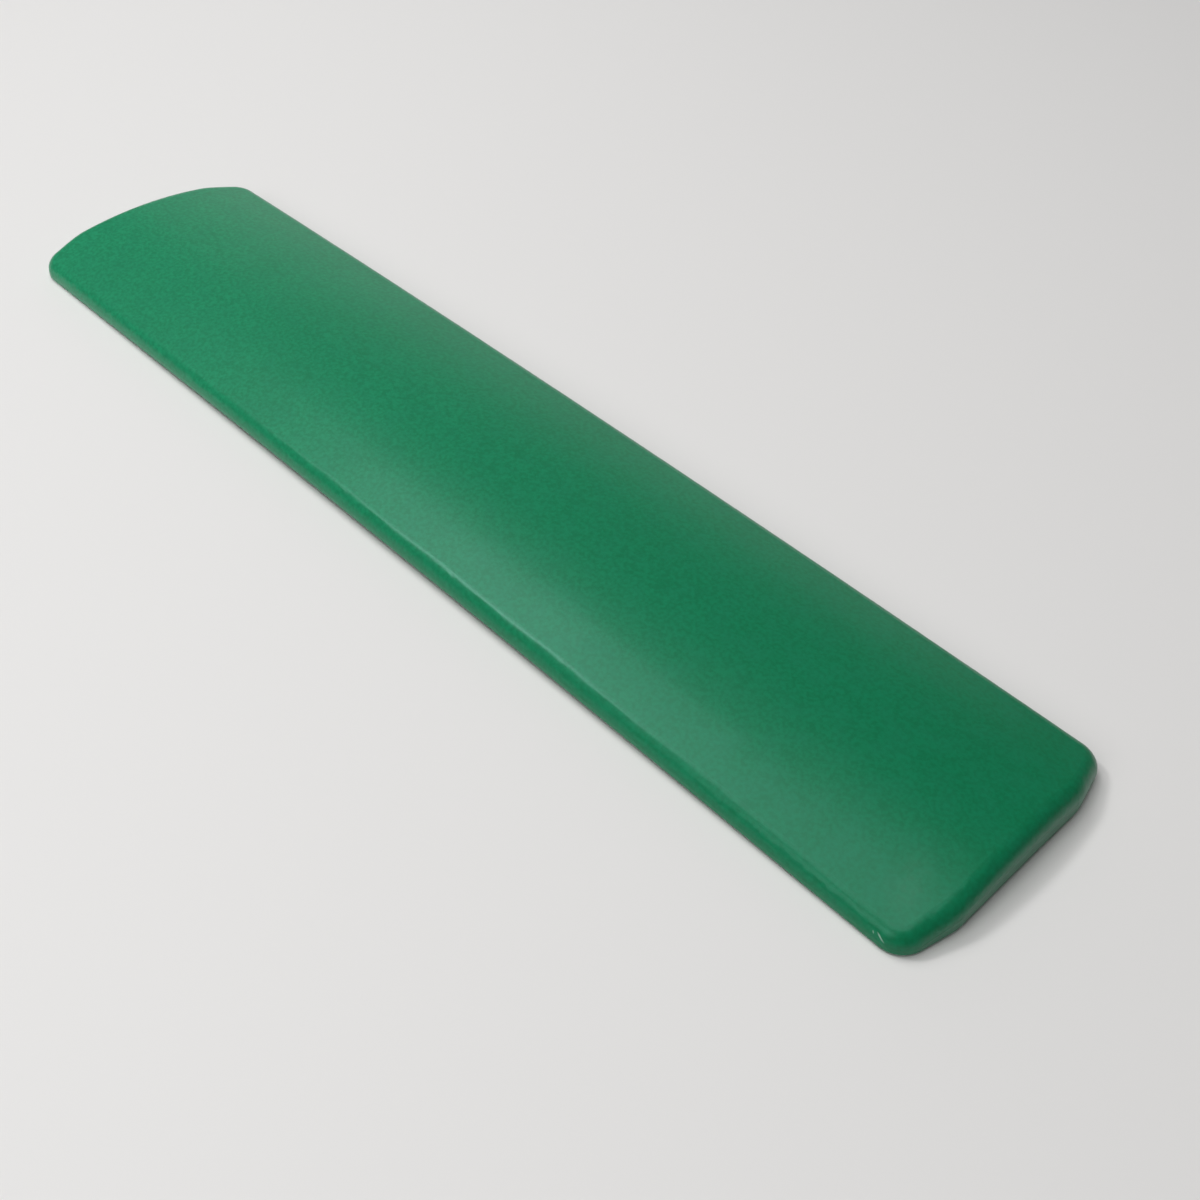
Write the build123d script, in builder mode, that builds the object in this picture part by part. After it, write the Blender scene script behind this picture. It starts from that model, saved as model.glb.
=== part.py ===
from build123d import *
from math import asin, degrees, sqrt
import os

# Straight slide board. The origin is the middle of its footprint, on the surface it rests on.
# +X runs from the head end to the foot end, +Y across the board, +Z up through the sliding face.
# Millimetres.

# ---- Overall shape -------------------------------------------------------------------------
length = 296.0
width = 65.0
corner_cut_across = 13.0  # clipped corner, measured along Y
corner_cut_along = 3.0  # clipped corner, measured along X
end_corner_radius = 15.5  # plan radius where the end meets the clipped corner
side_corner_radius = 6.0  # plan radius where the clipped corner meets the long side
rim_height = 4.35  # of the sharp edge that the roll rounds off
crown_rise = 4.65  # of the sliding face across the width, above the rim
roll_radius = 3.6  # from the sliding face down into the rim
rim_radius = 0.7  # round the rim's lower outer edge
camber = 1.5  # rise of the long sides at mid length
end_arch = 0.8  # rise of the rim's lower edge in the middle of each end
wall = 1.8

# ---- Moulded ribs --------------------------------------------------------------------------
rib_thickness = 1.2
long_rib_spacing = 18.0
long_rib_count = 3
cross_rib_spacing = 25.0
cross_rib_count = 11

# ---- Base panel ----------------------------------------------------------------------------
panel_recess = 0.8  # the panel's lower face, above the rim's lower edge
panel_thickness = 1.4
panel_gap = 0.2  # between the panel's edge and the rim
rib_gap = 0.1  # between the panel and the ribs above it
panel_top = panel_recess + panel_thickness

# ---- Screws --------------------------------------------------------------------------------
screw_radius = 1.1
screw_head_radius = 1.9
screw_head_height = screw_head_radius - screw_radius  # 90 degree countersink
screw_length = 4.0
screw_spacing_x = 75.0
screw_spacing_y = 36.0
boss_radius = 2.8
drive_width = 0.5  # of each arm of the cross recess
drive_depth = 0.6
pilot_gap = 0.02
screw_gap = 0.1  # around the shank in the panel
head_gap = 0.05
tip_gap = 0.3

# ---- Peg bushes ----------------------------------------------------------------------------
bush_x = -137.5
bush_spacing = 18.0
peg_bore_radius = 2.5
peg_bore_depth = 4.4
bush_cap = 0.8
bush_radius = 4.4
bush_flange_radius = 5.5
bush_flange = 1.2
bush_gap = 0.1
sleeve_width = 9.0  # inside a square sleeve of the shell, whose end bears on the bush's flange
sleeve_wall = 1.4

# ---- Rubber pads ---------------------------------------------------------------------------
pad_x = 134.0
pad_y = 24.0
pad_length = 14.0
pad_width = 8.0
pad_corner_radius = 2.5
pad_pocket = 0.5  # depth let into the panel
pad_gap = 0.05
pad_edge = 0.4

# ---- Derived geometry ----------------------------------------------------------------------
half_length = length / 2
half_width = width / 2
reach = half_width + 1  # the cross profiles run a little past the outline, which trims them
trim_base = Plane.XY.offset(-10)  # the trimming prisms start below everything
trim_height = 40.0
contact_x = half_length - corner_cut_along
camber_radius = (contact_x**2 + camber**2) / (2 * camber)
camber_axis = Axis((0, 0, camber - camber_radius), (0, 1, 0))
camber_angle = degrees(asin((half_length + 2) / camber_radius))
camber_start = Plane(camber_axis.position, x_dir=(0, 1, 0), z_dir=(1, 0, 0)).rotated((0, -camber_angle, 0))
crown_radius = (half_width**2 + crown_rise**2) / (2 * crown_rise)


def camber_at(x):
    """Height of the rim's lower edge at x."""
    return sqrt(camber_radius**2 - x**2) - camber_radius + camber


def crown_at(y, depth):
    """Height above the rim's lower edge of the surface that lies depth below the sliding face."""
    return rim_height + crown_rise - crown_radius + sqrt((crown_radius - depth) ** 2 - y**2)


with BuildSketch() as outline:
    with BuildLine():
        Polyline(
            (half_length, 0),
            (half_length, half_width - corner_cut_across),
            (contact_x, half_width),
            (-contact_x, half_width),
            (-half_length, half_width - corner_cut_across),
            (-half_length, 0),
        )
        mirror(about=Plane.XZ)
    make_face()
    fillet(outline.vertices().filter_by(lambda v: abs(v.Y) > half_width - 1), side_corner_radius)
    end_corners = outline.vertices().filter_by(lambda v: abs(v.X) > half_length - 0.01)
    fillet(end_corners.filter_by(lambda v: abs(v.Y) > 1), end_corner_radius)


def cross_profile(low, low_arch, depth):
    """Cross section from low, arched by low_arch, up to depth below the sliding face."""
    with BuildSketch() as profile:
        with BuildLine():
            ThreePointArc(
                (-reach, camber_radius + crown_at(reach, depth)),
                (0, camber_radius + crown_at(0, depth)),
                (reach, camber_radius + crown_at(reach, depth)),
            )
            Line((reach, camber_radius + crown_at(reach, depth)), (reach, camber_radius + low))
            if low_arch:
                ThreePointArc(
                    (reach, camber_radius + low),
                    (0, camber_radius + low + low_arch),
                    (-reach, camber_radius + low),
                )
            else:
                Line((reach, camber_radius + low), (-reach, camber_radius + low))
            Line((-reach, camber_radius + low), (-reach, camber_radius + crown_at(reach, depth)))
        make_face()
    return profile.sketch


def cambered(profile, inset, top_roll=0):
    """The cross profile carried along the camber, trimmed to the outline drawn in by inset."""
    with BuildPart() as body:
        with BuildSketch(camber_start):
            add(profile)
        revolve(axis=camber_axis, revolution_arc=2 * camber_angle)
        with BuildSketch(trim_base):
            add(outline.sketch)
            if inset:
                offset(amount=-inset)
        extrude(amount=trim_height, mode=Mode.INTERSECT)
        if top_roll:
            fillet(body.faces().sort_by(Axis.Z)[-1].edges(), top_roll)
    return body.part


def facing_down(x, y, z):
    """A place whose holes are bored upwards."""
    return Location((x, y, z), (180, 0, 0))


screw_places = [
    facing_down(place.position.X, place.position.Y, camber_at(place.position.X) + panel_recess)
    for place in GridLocations(screw_spacing_x, screw_spacing_y, 4, 2)
]
bush_mouth = camber_at(bush_x) + panel_recess
bush_seat = camber_at(bush_x) + panel_top + bush_gap
bush_top = bush_mouth + peg_bore_depth + bush_cap
pad_top = camber_at(pad_x) + panel_recess + pad_pocket

# ---- Slide shell ---------------------------------------------------------------------------
slide_blank = cambered(cross_profile(0, end_arch, 0), 0, roll_radius)
slide_hollow = cambered(cross_profile(-wall, 0, wall), wall, roll_radius - wall)
rib_space = cambered(cross_profile(panel_top + rib_gap, 0, wall / 2), wall / 2, roll_radius - wall / 2)

with BuildPart() as ribs:
    add(rib_space)
    with BuildSketch(trim_base):
        with GridLocations(0, long_rib_spacing, 1, long_rib_count):
            Rectangle(length, rib_thickness)
        with GridLocations(cross_rib_spacing, 0, cross_rib_count, 1):
            Rectangle(rib_thickness, width)
        with GridLocations(screw_spacing_x, screw_spacing_y, 4, 2):
            Circle(boss_radius)
    extrude(amount=trim_height, mode=Mode.INTERSECT)

with BuildPart() as sleeves:
    add(rib_space)
    with BuildSketch(Plane.XY.offset(bush_seat + bush_flange + bush_gap)):
        with Locations((bush_x, 0)):
            with GridLocations(0, bush_spacing, 1, 2):
                Rectangle(sleeve_width + 2 * sleeve_wall, sleeve_width + 2 * sleeve_wall)
                Rectangle(sleeve_width, sleeve_width, mode=Mode.SUBTRACT)
    extrude(amount=trim_height, mode=Mode.INTERSECT)

with BuildPart() as slide_shell:
    add(slide_blank)
    fillet(slide_shell.faces().sort_by(Axis.Z)[0].edges(), rim_radius)
    add(slide_hollow, mode=Mode.SUBTRACT)
    add(ribs.part)
    add(sleeves.part)
    with Locations(*screw_places):
        Hole(screw_radius + pilot_gap, depth=screw_length + tip_gap)
slide_shell.part.label = "slide_shell"

# ---- Base panel ----------------------------------------------------------------------------
with BuildSketch() as panel_profile:
    with Locations((0, camber_radius + panel_recess)):
        Rectangle(2 * reach, panel_thickness, align=(Align.CENTER, Align.MIN))

panel_blank = cambered(panel_profile.sketch, wall + panel_gap)

with BuildPart() as base_panel:
    add(panel_blank)
    with Locations(*screw_places):
        CounterSinkHole(screw_radius + screw_gap, screw_head_radius + head_gap, counter_sink_angle=90)
    with Locations((bush_x, 0, bush_mouth)):
        with GridLocations(0, bush_spacing, 1, 2):
            Cylinder(bush_radius + bush_gap, 4 * panel_thickness, mode=Mode.SUBTRACT)
    with BuildSketch(Plane.XY.offset(pad_top)):
        with GridLocations(2 * pad_x, 2 * pad_y, 2, 2):
            RectangleRounded(pad_length + 2 * pad_gap, pad_width + 2 * pad_gap, pad_corner_radius)
    extrude(amount=-pad_top, mode=Mode.SUBTRACT)
base_panel.part.label = "base_panel"

# ---- Screws --------------------------------------------------------------------------------
with BuildPart() as panel_screws:
    with Locations(*screw_places):
        Cylinder(screw_radius, screw_length, align=(Align.CENTER, Align.CENTER, Align.MAX))
        Cone(
            screw_radius,
            screw_head_radius,
            screw_head_height,
            align=(Align.CENTER, Align.CENTER, Align.MAX),
        )
        for arm in ((2 * screw_radius, drive_width), (drive_width, 2 * screw_radius)):
            Box(
                *arm,
                drive_depth,
                align=(Align.CENTER, Align.CENTER, Align.MAX),
                mode=Mode.SUBTRACT,
            )
panel_screws.part.label = "panel_screws"

# ---- Peg bushes ----------------------------------------------------------------------------
peg_bushes = {}
for side, sign in (("left", 1), ("right", -1)):
    with BuildPart() as bush:
        with BuildSketch(Plane.XY.offset(bush_mouth)):
            with Locations((bush_x, sign * bush_spacing / 2)):
                Circle(bush_radius)
        extrude(amount=bush_top - bush_mouth)
        with BuildSketch(Plane.XY.offset(bush_seat)):
            with Locations((bush_x, sign * bush_spacing / 2)):
                Circle(bush_flange_radius)
        extrude(amount=bush_flange)
        with Locations(facing_down(bush_x, sign * bush_spacing / 2, bush_mouth)):
            Hole(peg_bore_radius, depth=peg_bore_depth)
    bush.part.label = f"{side}_peg_bush"
    peg_bushes[bush.part.label] = bush.part

# ---- Rubber pads ---------------------------------------------------------------------------
rubber_pads = {}
for end, x in (("head", -pad_x), ("foot", pad_x)):
    for side, y in (("left", pad_y), ("right", -pad_y)):
        with BuildPart() as pad:
            with BuildSketch():
                with Locations((x, y)):
                    RectangleRounded(pad_length, pad_width, pad_corner_radius)
            extrude(amount=pad_top)
            chamfer(pad.faces().sort_by(Axis.Z)[0].edges(), pad_edge)
        pad.part.label = f"{side}_{end}_pad"
        rubber_pads[pad.part.label] = pad.part

# ---- Export --------------------------------------------------------------------------------
os.makedirs("parts", exist_ok=True)
export_step(slide_shell.part, "parts/slide_shell.step")
export_step(base_panel.part, "parts/base_panel.step")
export_step(panel_screws.part, "parts/panel_screws.step")
for name, solid in (peg_bushes | rubber_pads).items():
    export_step(solid, f"parts/{name}.step")
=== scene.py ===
import math

import bmesh
import bpy
from mathutils import Matrix, Vector


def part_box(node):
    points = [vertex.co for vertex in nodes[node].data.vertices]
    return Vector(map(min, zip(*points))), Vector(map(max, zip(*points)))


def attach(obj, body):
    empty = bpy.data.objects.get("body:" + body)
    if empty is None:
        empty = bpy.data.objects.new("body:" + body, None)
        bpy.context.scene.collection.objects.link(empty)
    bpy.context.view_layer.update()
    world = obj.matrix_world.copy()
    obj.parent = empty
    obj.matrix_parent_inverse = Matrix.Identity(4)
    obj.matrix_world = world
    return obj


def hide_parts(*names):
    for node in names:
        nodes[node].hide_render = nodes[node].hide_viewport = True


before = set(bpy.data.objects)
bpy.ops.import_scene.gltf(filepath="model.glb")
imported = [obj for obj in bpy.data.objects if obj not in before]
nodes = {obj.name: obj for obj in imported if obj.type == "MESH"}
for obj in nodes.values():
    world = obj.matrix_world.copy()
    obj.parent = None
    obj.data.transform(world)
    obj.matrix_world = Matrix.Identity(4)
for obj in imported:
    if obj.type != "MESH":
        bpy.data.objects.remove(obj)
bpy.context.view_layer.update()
MM = 0.001

shell_low, shell_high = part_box("slide_shell")


# ---- Camera ----------------------------------------------------------------------------------
def look_from(azimuth, elevation, roll, distance, target, focal):
    """A camera that looks at target from azimuth and elevation, turned by roll about its axis.

    The angles are in radians and the focal length is in millimetres.
    """
    back = Vector((
        math.cos(elevation) * math.cos(azimuth),
        math.cos(elevation) * math.sin(azimuth),
        math.sin(elevation),
    ))
    level = Vector((0, 0, 1)).cross(back).normalized()
    upright = back.cross(level)
    right = math.cos(roll) * level + math.sin(roll) * upright
    up = back.cross(right)
    data = bpy.data.cameras.new("camera")
    data.lens = focal
    data.sensor_width = 36.0
    data.clip_start = 5 * MM
    data.clip_end = 10.0
    camera = bpy.data.objects.new("camera", data)
    bpy.context.scene.collection.objects.link(camera)
    turn = Matrix((right, up, back)).transposed().to_4x4()
    camera.matrix_world = Matrix.Translation(target + back * distance) @ turn
    bpy.context.scene.camera = camera


look_from(
    azimuth=-0.815,
    elevation=0.7724,
    roll=0.0615,
    distance=313.8 * MM,
    target=Vector((45.7 * MM, -8.0 * MM, 0)),
    focal=43.74,
)


# ---- Node helpers ----------------------------------------------------------------------------
class Shader:
    """Builds one Principled material node by node."""

    def __init__(self, name):
        self.material = bpy.data.materials.new(name)
        self.material.use_nodes = True
        self.tree = self.material.node_tree
        self.principled = self.tree.nodes["Principled BSDF"]
        coordinates = self.tree.nodes.new("ShaderNodeTexCoord")
        self.place = coordinates.outputs["Object"]

    def node(self, kind, **settings):
        made = self.tree.nodes.new(kind)
        for key, value in settings.items():
            setattr(made, key, value)
        return made

    def link(self, source, target):
        self.tree.links.new(source, target)

    def set(self, **values):
        for key, value in values.items():
            self.principled.inputs[key.replace("_", " ")].default_value = value

    def noise(self, size, detail=3.0):
        """Noise whose features are about size metres across, in 0 to 1."""
        noise = self.node("ShaderNodeTexNoise")
        noise.inputs["Scale"].default_value = 1.0 / size
        noise.inputs["Detail"].default_value = detail
        self.link(self.place, noise.inputs["Vector"])
        return noise.outputs["Fac"]

    def remap(self, value, low, high, to_low, to_high):
        """The value, carried from the range low..high to the range to_low..to_high."""
        mapped = self.node("ShaderNodeMapRange")
        ends = {"From Min": low, "From Max": high, "To Min": to_low, "To Max": to_high}
        for name, number in ends.items():
            mapped.inputs[name].default_value = number
        self.link(value, mapped.inputs["Value"])
        return mapped.outputs["Result"]

    def spread(self, noise, to_low, to_high):
        """Noise, which mostly lies in 0.3 to 0.7, carried to the range to_low..to_high."""
        return self.remap(noise, 0.3, 0.7, to_low, to_high)

    def maths(self, operation, first, second):
        step = self.node("ShaderNodeMath", operation=operation)
        for socket, value in zip(step.inputs, (first, second)):
            if isinstance(value, (int, float)):
                socket.default_value = value
            else:
                self.link(value, socket)
        return step.outputs["Value"]

    def mix(self, amount, first, second):
        """Colour between first and second; either may be a colour or a socket."""
        step = self.node("ShaderNodeMix", data_type="RGBA")
        self.link(amount, step.inputs["Factor"])
        for name, value in (("A", first), ("B", second)):
            socket = next(s for s in step.inputs if s.name == name and s.type == "RGBA")
            if isinstance(value, tuple):
                socket.default_value = (*value, 1.0)
            else:
                self.link(value, socket)
        return next(s for s in step.outputs if s.type == "RGBA")

    def along_x(self, start, end):
        """0 at x = start, rising to 1 at x = end."""
        split = self.node("ShaderNodeSeparateXYZ")
        self.link(self.place, split.inputs["Vector"])
        return self.remap(split.outputs["X"], start, end, 0.0, 1.0)

    def patch(self, centre, along, half_length, half_width, core):
        """1 in the core of an ellipsoid around centre, fading to 0 at its surface.

        The ellipsoid lies along the direction given, and core is a fraction of its size.
        """
        turn = Vector(along).to_track_quat("X", "Z").to_euler()
        mapping = self.node("ShaderNodeMapping", vector_type="TEXTURE")
        mapping.inputs["Location"].default_value = centre
        mapping.inputs["Rotation"].default_value = turn
        mapping.inputs["Scale"].default_value = (half_length, half_width, half_width)
        self.link(self.place, mapping.inputs["Vector"])
        length = self.node("ShaderNodeVectorMath", operation="LENGTH")
        self.link(mapping.outputs["Vector"], length.inputs[0])
        return self.remap(length.outputs["Value"], core, 1.0, 1.0, 0.0)

    def bump(self, *layers):
        """Stacks (height socket, depth in metres) layers onto the normal."""
        normal = None
        for height, depth in layers:
            step = self.node("ShaderNodeBump")
            step.inputs["Strength"].default_value = 1.0
            step.inputs["Distance"].default_value = depth
            self.link(height, step.inputs["Height"])
            if normal:
                self.link(normal, step.inputs["Normal"])
            normal = step.outputs["Normal"]
        self.link(normal, self.principled.inputs["Normal"])


def paint(material, *things):
    """Gives the material to CAD nodes, by name, or to objects."""
    for thing in things:
        mesh = nodes[thing].data if isinstance(thing, str) else thing.data
        mesh.materials.clear()
        mesh.materials.append(material)


# ---- Materials -------------------------------------------------------------------------------
HEAD_GREEN = (0.017, 0.300, 0.138)
FOOT_GREEN = (0.004, 0.190, 0.079)
CLOUD_GREEN = (0.004, 0.150, 0.060)
SPECK_GREEN = (0.003, 0.115, 0.040)
BLOTCH_GREEN = (0.012, 0.205, 0.105)
RUBBED_GREEN = (0.20, 0.34, 0.27)
NICK_GREEN = (0.30, 0.50, 0.40)
SHEEN_TINT = (0.6, 1.0, 0.95, 1.0)


def slide_plastic():
    """Satin green plastic, paler towards the head end, with two marks near the foot end."""
    shader = Shader("slide_plastic")
    clouds = shader.noise(26 * MM, 2.0)
    specks = shader.noise(0.9 * MM, 3.0)
    blotches = shader.noise(5 * MM, 3.0)
    # The base colour runs from a paler green at the head end to a deeper green at the foot end.
    along = shader.along_x(shell_low.x, shell_high.x)
    head_to_foot_green = shader.mix(along, HEAD_GREEN, FOOT_GREEN)
    clouded = shader.mix(shader.spread(clouds, 0.0, 0.14), head_to_foot_green, CLOUD_GREEN)
    specked = shader.mix(shader.remap(specks, 0.36, 0.64, 0.0, 0.42), clouded, SPECK_GREEN)
    mottled = shader.mix(shader.remap(blotches, 0.4, 0.7, 0.0, 0.25), specked, BLOTCH_GREEN)

    # A rubbed patch on the sliding face and a scraped nick on the roll, by the foot's -Y corner.
    corner = Vector((shell_high.x, shell_low.y, 0))
    rub_place = corner + Vector((-9.5, 9.5, 7)) * MM
    rub_patch = shader.patch(rub_place, (-0.4, 1, 0), 10 * MM, 5 * MM, core=0.0)
    rub_grain = shader.spread(shader.noise(1.6 * MM), 0.04, 0.13)
    rub = shader.maths("MULTIPLY", rub_patch, rub_grain)
    long_place = corner + Vector((-7.8, 0.3, 2.9)) * MM
    short_place = corner + Vector((-9.4, 0.3, 2.9)) * MM
    long_scrape = shader.patch(long_place, (0.85, -0.1, -0.5), 1.3 * MM, 0.22 * MM, core=0.4)
    short_scrape = shader.patch(short_place, (0.5, -0.1, -0.8), 0.45 * MM, 0.2 * MM, core=0.2)
    nick = shader.maths("MAXIMUM", long_scrape, short_scrape)

    worn = shader.mix(rub, mottled, RUBBED_GREEN)
    shader.link(shader.mix(nick, worn, NICK_GREEN), shader.principled.inputs["Base Color"])
    sheen = shader.spread(clouds, 0.30, 0.32)
    shader.link(shader.maths("ADD", sheen, rub), shader.principled.inputs["Roughness"])
    shader.set(IOR=1.5, Specular_IOR_Level=0.33, Specular_Tint=SHEEN_TINT)
    shader.bump(
        (shader.noise(0.45 * MM, 2.0), 0.006 * MM),
        (shader.noise(9 * MM, 1.0), 0.006 * MM),
        (nick, -0.05 * MM),
    )
    return shader.material


PANEL_GREEN = (0.008, 0.150, 0.062)
PANEL_CLOUD_GREEN = (0.010, 0.178, 0.078)
PANEL_DUST = (0.10, 0.19, 0.14)
MARK_GREEN = (0.012, 0.190, 0.085)
MARKS_X = (-100, -50, 0, 50, 100)  # millimetres
MARKS_Y = (-9, 9)
MARK_RADIUS = 3 * MM


def panel_plastic():
    """Grained green plastic with the round marks of the mould's ejector pins."""
    shader = Shader("panel_plastic")
    grain = shader.noise(0.5 * MM, 3.0)
    clouds = shader.noise(15 * MM, 2.0)
    panel_low, panel_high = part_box("base_panel")
    middle = (panel_low.z + panel_high.z) / 2
    marks = None
    for x in MARKS_X:
        for y in MARKS_Y:
            place = Vector((x * MM, y * MM, middle))
            mark = shader.patch(place, (1, 0, 0), MARK_RADIUS, MARK_RADIUS, core=0.93)
            marks = shader.maths("MAXIMUM", marks, mark) if marks else mark
    tint = shader.mix(clouds, PANEL_GREEN, PANEL_CLOUD_GREEN)
    dust = shader.remap(shader.noise(3 * MM, 4.0), 0.45, 0.8, 0.0, 0.25)
    dusty = shader.mix(dust, tint, PANEL_DUST)
    marked = shader.mix(marks, dusty, MARK_GREEN)
    shader.link(marked, shader.principled.inputs["Base Color"])
    matt = shader.spread(grain, 0.5, 0.62)
    polished = shader.maths("SUBTRACT", matt, shader.maths("MULTIPLY", marks, 0.18))
    shader.link(polished, shader.principled.inputs["Roughness"])
    shader.set(Specular_IOR_Level=0.4)
    grain_off_marks = shader.maths("MULTIPLY", grain, shader.maths("SUBTRACT", 1.0, marks))
    shader.bump((grain_off_marks, 0.05 * MM), (marks, -0.12 * MM))
    return shader.material


def screw_steel():
    """Zinc-plated steel with a faint haze."""
    shader = Shader("screw_steel")
    haze = shader.noise(0.5 * MM, 4.0)
    tint = shader.mix(haze, (0.5, 0.5, 0.52), (0.62, 0.61, 0.58))
    shader.link(tint, shader.principled.inputs["Base Color"])
    shader.link(shader.spread(haze, 0.25, 0.42), shader.principled.inputs["Roughness"])
    shader.set(Metallic=1.0)
    shader.bump((haze, 0.004 * MM))
    return shader.material


def bush_plastic():
    """Pale satin plastic."""
    shader = Shader("bush_plastic")
    haze = shader.noise(2 * MM, 3.0)
    tint = shader.mix(haze, (0.58, 0.58, 0.54), (0.66, 0.66, 0.62))
    shader.link(tint, shader.principled.inputs["Base Color"])
    shader.link(shader.spread(haze, 0.32, 0.4), shader.principled.inputs["Roughness"])
    shader.bump((shader.noise(0.3 * MM, 2.0), 0.005 * MM))
    return shader.material


def pad_rubber():
    """Dark matt rubber with a little dust."""
    shader = Shader("pad_rubber")
    grain = shader.noise(0.4 * MM, 3.0)
    dust = shader.noise(4 * MM, 4.0)
    dusting = shader.remap(dust, 0.45, 0.75, 0.0, 0.5)
    tint = shader.mix(dusting, (0.028, 0.028, 0.03), (0.06, 0.058, 0.055))
    shader.link(tint, shader.principled.inputs["Base Color"])
    shader.link(shader.spread(dust, 0.7, 0.85), shader.principled.inputs["Roughness"])
    shader.bump((grain, 0.02 * MM))
    return shader.material


paint(slide_plastic(), "slide_shell")
paint(panel_plastic(), "base_panel")
paint(screw_steel(), "panel_screws")
paint(bush_plastic(), "left_peg_bush", "right_peg_bush")

# The sliding face has large facets and the roll has small ones. Weighting the shading by area
# keeps the face's own slope right up to the roll.
shading = nodes["slide_shell"].modifiers.new("shading", "WEIGHTED_NORMAL")
shading.mode = "FACE_AREA"
shading.weight = 100
shading.keep_sharp = True


# ---- Rubber pads -----------------------------------------------------------------------------
PAD_CORNER = 2.5 * MM
PAD_ROUNDING = 0.5 * MM  # of the edge that meets the ground
GROOVE_COUNT = 6
GROOVE_WIDTH = 0.8 * MM
GROOVE_LENGTH = 5.2 * MM
GROOVE_DEPTH = 0.45 * MM
EDGE_SOFTENING = 0.12 * MM  # of the grooves' edges
ROUNDING_STEPS = 5


def rounded_outline(half_x, half_y, radius, steps=8):
    """Points round a rectangle with rounded corners, anticlockwise."""
    points = []
    for corner, (sign_x, sign_y) in enumerate(((1, 1), (-1, 1), (-1, -1), (1, -1))):
        for step in range(steps + 1):
            angle = math.radians(90 * (corner + step / steps))
            x = sign_x * (half_x - radius) + radius * math.cos(angle)
            y = sign_y * (half_y - radius) + radius * math.sin(angle)
            points.append((x, y))
    return points


def lofted(name, rings, place):
    """A closed mesh through rings of (outline points, height), with its ends filled."""
    shape = bmesh.new()
    loops = [[shape.verts.new((x, y, z)) for x, y in points] for points, z in rings]
    for lower, upper in zip(loops, loops[1:]):
        for i in range(len(lower)):
            j = (i + 1) % len(lower)
            shape.faces.new((lower[i], lower[j], upper[j], upper[i]))
    shape.faces.new(loops[0][::-1])
    shape.faces.new(loops[-1])
    bmesh.ops.translate(shape, verts=shape.verts, vec=place)
    mesh = bpy.data.meshes.new(name)
    shape.to_mesh(mesh)
    shape.free()
    made = bpy.data.objects.new(name, mesh)
    bpy.context.scene.collection.objects.link(made)
    return made


def rubber_pad(node, material):
    """A soft-edged pad with round-ended grip grooves across its underside."""
    low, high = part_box(node)
    middle = (low + high) / 2
    half = (high - low) / 2
    rings = []
    for step in range(ROUNDING_STEPS + 1):
        angle = math.radians(90 * step / ROUNDING_STEPS)
        inset = PAD_ROUNDING * (1 - math.sin(angle))
        outline = rounded_outline(half.x - inset, half.y - inset, PAD_CORNER - inset)
        rings.append((outline, PAD_ROUNDING * (1 - math.cos(angle))))
    rings.append((rounded_outline(half.x, half.y, PAD_CORNER), high.z))
    pad = lofted(f"{node}_rubber", rings, Vector((middle.x, middle.y, low.z)))

    cutters = []
    pitch = 2 * (half.x - PAD_CORNER) / (GROOVE_COUNT - 1)
    for i in range(GROOVE_COUNT):
        x = middle.x + (i - (GROOVE_COUNT - 1) / 2) * pitch
        ends = rounded_outline(GROOVE_WIDTH / 2, GROOVE_LENGTH / 2, GROOVE_WIDTH / 2)
        rings = [(ends, -GROOVE_DEPTH), (ends, GROOVE_DEPTH)]
        cutters.append(lofted(f"{node}_groove_{i}", rings, Vector((x, middle.y, low.z))))
    for cutter in cutters:
        cut = pad.modifiers.new(cutter.name, "BOOLEAN")
        cut.operation = "DIFFERENCE"
        cut.solver = "EXACT"
        cut.object = cutter
    soften = pad.modifiers.new("soften", "BEVEL")
    soften.width = EDGE_SOFTENING
    soften.segments = 3
    soften.limit_method = "ANGLE"
    soften.angle_limit = math.radians(50)
    bpy.context.view_layer.update()
    evaluated = pad.evaluated_get(bpy.context.evaluated_depsgraph_get())
    finished = bpy.data.meshes.new_from_object(evaluated)
    pad.modifiers.clear()
    pad.data = finished
    pad.data.shade_smooth()
    pad.data.set_sharp_from_angle(angle=math.radians(45))
    for cutter in cutters:
        bpy.data.objects.remove(cutter)
    paint(material, pad)
    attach(pad, "root")
    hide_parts(node)


rubber = pad_rubber()
for end in ("head", "foot"):
    for side in ("left", "right"):
        rubber_pad(f"{side}_{end}_pad", rubber)


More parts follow.
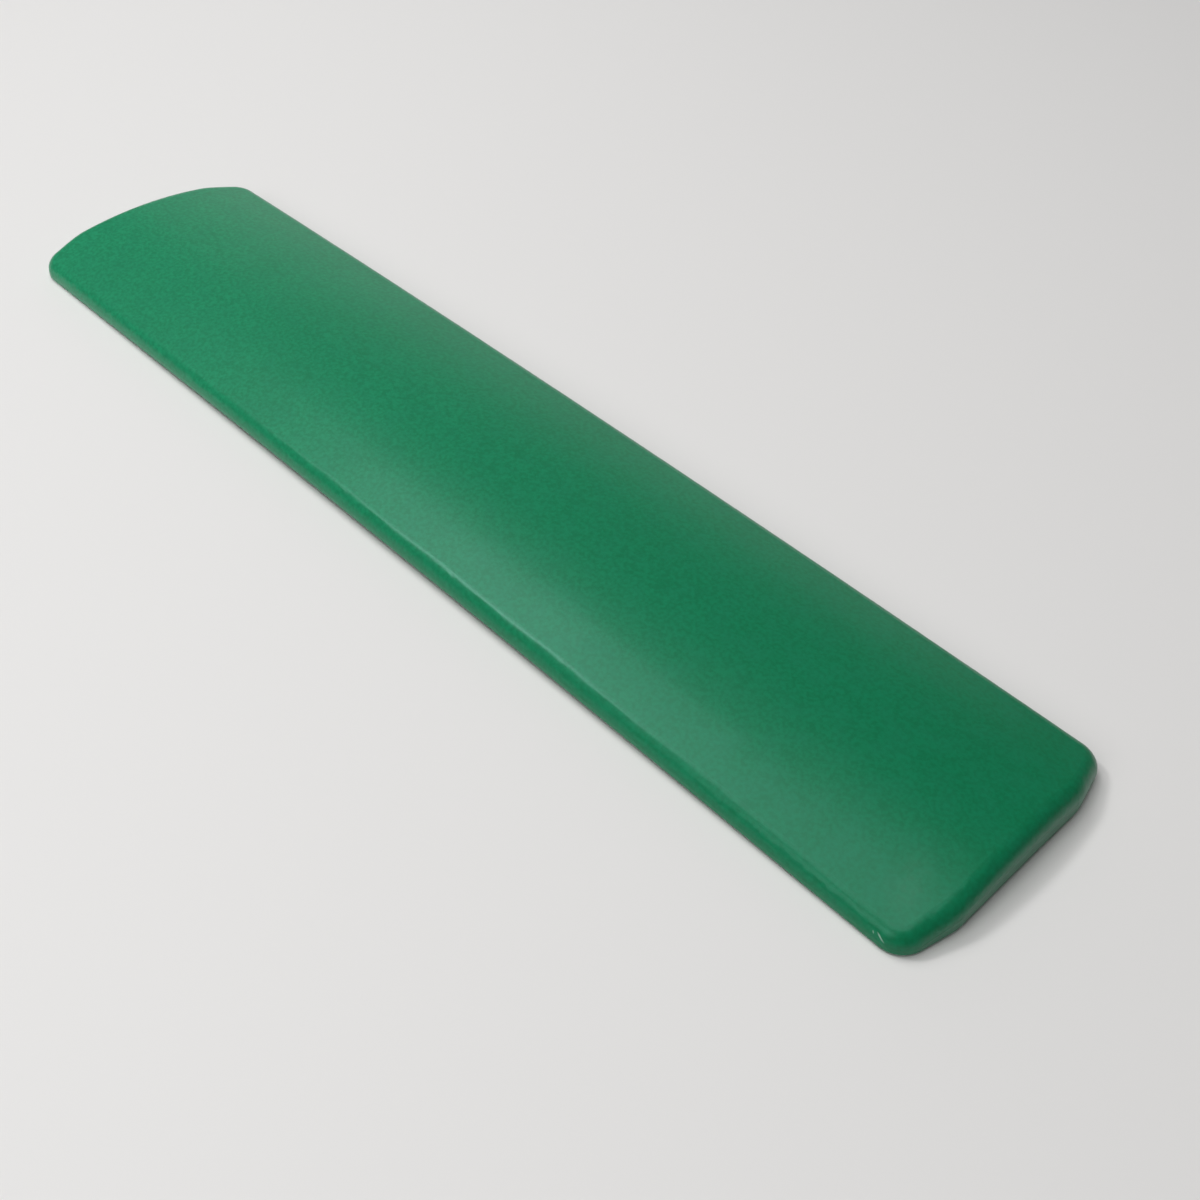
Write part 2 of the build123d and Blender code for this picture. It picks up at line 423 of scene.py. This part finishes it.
# ---- Floor and light -------------------------------------------------------------------------
FLOOR_HALF_SIZE = 2.0
FLOOR_COLOUR = (0.84, 0.83, 0.82, 1.0)
LIGHT_DISTANCE = 1.3
WORLD_COLOUR = (1, 1, 1, 1)
WORLD_STRENGTH = 0.1


def floor():
    """A plain pale floor under the slide."""
    mesh = bpy.data.meshes.new("floor")
    shape = bmesh.new()
    bmesh.ops.create_grid(shape, x_segments=1, y_segments=1, size=FLOOR_HALF_SIZE)
    shape.to_mesh(mesh)
    shape.free()
    plane = bpy.data.objects.new("floor", mesh)
    bpy.context.scene.collection.objects.link(plane)
    shader = Shader("floor_white")
    shader.set(Base_Color=FLOOR_COLOUR, Roughness=0.6)
    paint(shader.material, plane)


def area_light(name, azimuth, elevation, width, power, height=None):
    """A rectangular light that faces the origin from azimuth and elevation, in degrees."""
    turn, rise = math.radians(azimuth), math.radians(elevation)
    level = Vector((math.cos(turn), math.sin(turn), 0))
    direction = math.cos(rise) * level + math.sin(rise) * Vector((0, 0, 1))
    data = bpy.data.lights.new(name, "AREA")
    data.shape = "RECTANGLE"
    data.size = width
    data.size_y = height or width
    data.energy = power
    light = bpy.data.objects.new(name, data)
    facing = direction.to_track_quat("Z", "Y").to_matrix().to_4x4()
    light.matrix_world = Matrix.Translation(direction * LIGHT_DISTANCE) @ facing
    bpy.context.scene.collection.objects.link(light)


floor()
world = bpy.data.worlds.new("studio")
world.use_nodes = True
background = world.node_tree.nodes["Background"]
background.inputs["Color"].default_value = WORLD_COLOUR
background.inputs["Strength"].default_value = WORLD_STRENGTH
bpy.context.scene.world = world
area_light("overhead", azimuth=225, elevation=82, width=1.0, power=7.0)
area_light("key", azimuth=215, elevation=52, width=0.2, power=4.0)
area_light("left_fill", azimuth=270, elevation=35, width=0.68, power=3.6)
area_light("window", azimuth=176, elevation=59, width=0.45, power=2.7)
area_light("far_strip", azimuth=130, elevation=14, width=1.4, height=0.68, power=1.4)
bpy.context.scene.view_settings.view_transform = "Standard"
